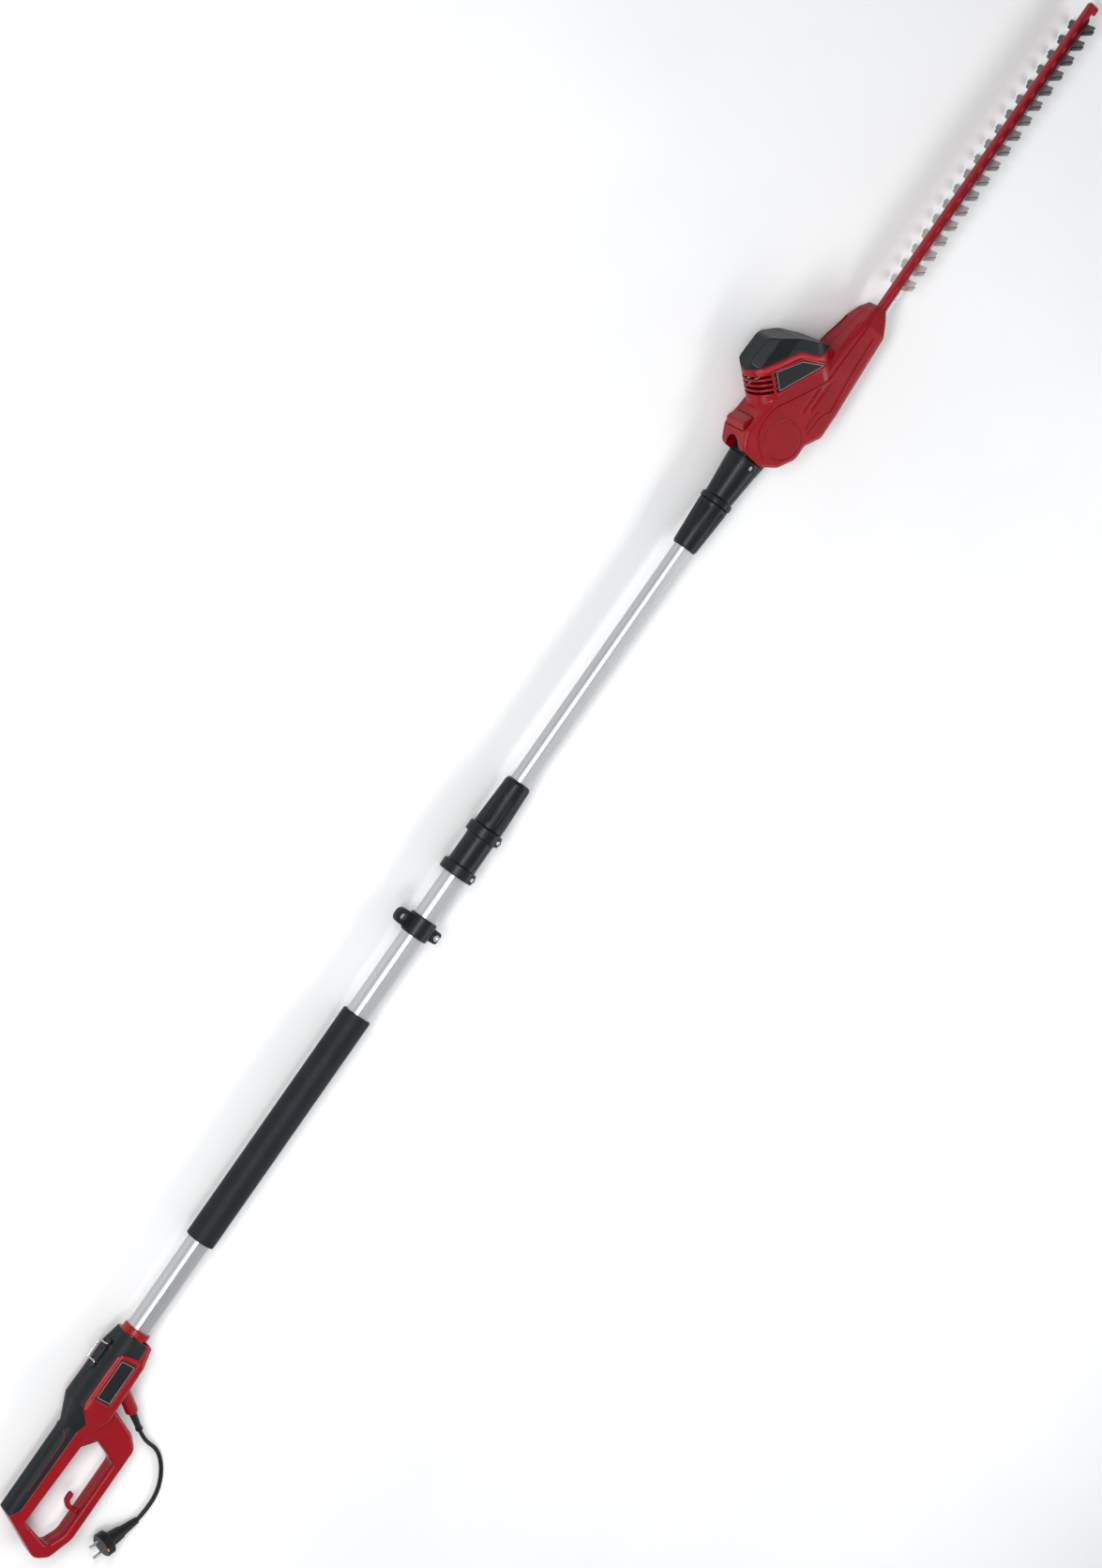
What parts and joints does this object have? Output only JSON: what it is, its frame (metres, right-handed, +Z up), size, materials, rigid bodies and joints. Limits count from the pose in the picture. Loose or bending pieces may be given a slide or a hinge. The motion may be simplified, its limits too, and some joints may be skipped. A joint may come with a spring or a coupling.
{
  "type": "pole hedge trimmer",
  "caption": "Electric pole hedge trimmer: D-handle with plug lead, telescopic pole with foam grip, tilting motor head and long double-sided reciprocating blade.",
  "frame": {"origin": "bottom centre of the tool without its lead, on the floor that it lies on", "axes": "+X along the pole from the handle to the blade tip, +Y towards the tool's top, +Z up, away from the floor, out of its right side"},
  "size_m": [2.7148, 0.322, 0.066],
  "materials": {
    "red_plastic": "deep red moulded plastic, satin gloss",
    "black_plastic": "black moulded plastic with a faint blue cast",
    "soft_black": "soft black overmoulded grip",
    "foam": "closed-cell black foam",
    "lead_black": "black rubber-sheathed lead",
    "silver_tube": "satin anodised silver tube",
    "steel": "ground and stamped blade steel",
    "bright_steel": "zinc-plated fasteners and pins",
    "red_metal": "red painted steel bar",
    "gear_steel": "machined gear steel",
    "lamination": "stacked electrical steel",
    "copper": "enamelled copper winding",
    "bronze": "sintered bronze bush",
    "carbon": "carbon brush",
    "die_cast": "die-cast aluminium",
    "label": "blank black plate with a grey border line",
    "nylon": "natural nylon"
  },
  "bodies": {
    "handle": {"handle_shell_left": "red_plastic", "handle_shell_right": "red_plastic", "soft_grip_left": "soft_black", "soft_grip_right": "soft_black", "handle_screws": "bright_steel", "trigger_pin": "bright_steel", "power_switch": "black_plastic", "cord_clamp": "black_plastic", "ring_bracket": "black_plastic", "handle_plate": "label", "bend_protector": "lead_black", "mains_lead": "lead_black", "plug_body": "lead_black", "plug_pins": "bright_steel", "earth_contacts": "copper", "outer_tube": "silver_tube", "foam_grip": "foam", "telescope_collar": "black_plastic", "collar_screws": "bright_steel", "collet": "nylon"},
    "trigger": {"trigger": "black_plastic"},
    "lock_off": {"lock_off_button": "black_plastic"},
    "strap_ring_body": {"strap_ring": "bright_steel"},
    "strap_clamp_body": {"strap_clamp": "black_plastic", "clamp_bolt": "bright_steel", "clamp_nut_m6": "bright_steel"},
    "telescope_nut": {"clamp_nut": "black_plastic"},
    "pole_inner": {"inner_tube": "silver_tube", "guide_bush": "nylon", "tilt_neck": "black_plastic", "neck_screws": "bright_steel"},
    "coupling": {"coupling_nut": "black_plastic"},
    "head": {"head_shell_left": "red_plastic", "head_shell_right": "red_plastic", "motor_cap": "black_plastic", "head_plate": "label", "head_screws": "bright_steel", "tilt_axle": "bright_steel", "pivot_covers": "red_plastic", "stator": "lamination", "field_coils": "copper", "brush_holders": "bronze", "brushes": "carbon", "motor_bearings": "gear_steel", "bearing_bridge": "die_cast", "gearbox_plate": "die_cast", "gearbox_base": "die_cast", "crank_bushes": "bronze", "blade_bar": "red_metal", "blade_bolts": "bright_steel"},
    "tilt_button_body": {"tilt_button": "red_plastic"},
    "motor_armature": {"armature": "lamination", "armature_shaft": "gear_steel", "commutator": "copper", "cooling_fan": "nylon", "pinion": "gear_steel"},
    "crank": {"crank_shaft": "gear_steel", "drive_gear": "gear_steel"},
    "upper_blade_body": {"upper_blade": "steel"},
    "lower_blade_body": {"lower_blade": "steel"}
  },
  "joints": [
    {"name": "trigger_pull", "type": "hinge", "parent": "handle", "child": "trigger", "pos_m": [-1.23161, -0.0099, 0.033], "axis": [0, 0, 1], "range_deg": [0, 4.5], "stiffness_Nm_per_rad": 6, "springref_deg": -1.72},
    {"name": "lock_off_press", "type": "slide", "parent": "handle", "child": "lock_off", "axis": [0, 0, 1], "range_m": [0, 0.003], "stiffness_N_per_m": 800, "springref_m": -0.002},
    {"name": "strap_ring_swing", "type": "hinge", "parent": "handle", "child": "strap_ring_body", "pos_m": [-1.05161, 0.0331, 0.033], "axis": [1, 0, 0], "range_deg": [0, 100]},
    {"name": "strap_clamp_slide", "type": "slide", "parent": "handle", "child": "strap_clamp_body", "axis": [1, 0, 0], "range_m": [-0.13, 0.07]},
    {"name": "telescope_nut_turn", "type": "hinge", "parent": "handle", "child": "telescope_nut", "pos_m": [-0.07861, 0.0041, 0.033], "axis": [1, 0, 0], "range_deg": [-90, 0]},
    {"name": "telescope_slide", "type": "slide", "parent": "handle", "child": "pole_inner", "axis": [1, 0, 0], "range_m": [-0.39, 0]},
    {"name": "coupling_nut_turn", "type": "hinge", "parent": "pole_inner", "child": "coupling", "pos_m": [0.41139, 0.0041, 0.033], "axis": [1, 0, 0], "range_deg": [-90, 0]},
    {"name": "head_tilt", "type": "hinge", "parent": "pole_inner", "child": "head", "pos_m": [0.57979, -0.0072, 0.033], "axis": [0, 0, -1], "range_deg": [0, 90]},
    {"name": "tilt_button_press", "type": "slide", "parent": "head", "child": "tilt_button_body", "axis": [0, -1, 0], "range_m": [0, 0.004], "stiffness_N_per_m": 1500, "springref_m": -0.003},
    {"name": "crank_turn", "type": "hinge", "parent": "head", "child": "crank", "pos_m": [0.64589, -0.0359, 0.033], "axis": [0, 1, 0], "range_deg": [-82, 38]},
    {"name": "armature_spin", "type": "hinge", "parent": "head", "child": "motor_armature", "pos_m": [0.67739, 0.0341, 0.033], "axis": [0, 1, 0], "range_deg": [-162, 349]},
    {"name": "upper_blade_stroke", "type": "slide", "parent": "head", "child": "upper_blade_body", "axis": [1, 0, 0], "range_m": [-0.01, 0.0047]},
    {"name": "lower_blade_stroke", "type": "slide", "parent": "head", "child": "lower_blade_body", "axis": [1, 0, 0], "range_m": [-0.0047, 0.01]}
  ],
  "couplings": [
    {"joint": "armature_spin", "follows": "crank_turn", "ratio": -4.25},
    {"joint": "upper_blade_stroke", "follows": "crank_turn", "m_per_rad": 0.00696},
    {"joint": "lower_blade_stroke", "follows": "crank_turn", "m_per_rad": -0.00696}
  ]
}
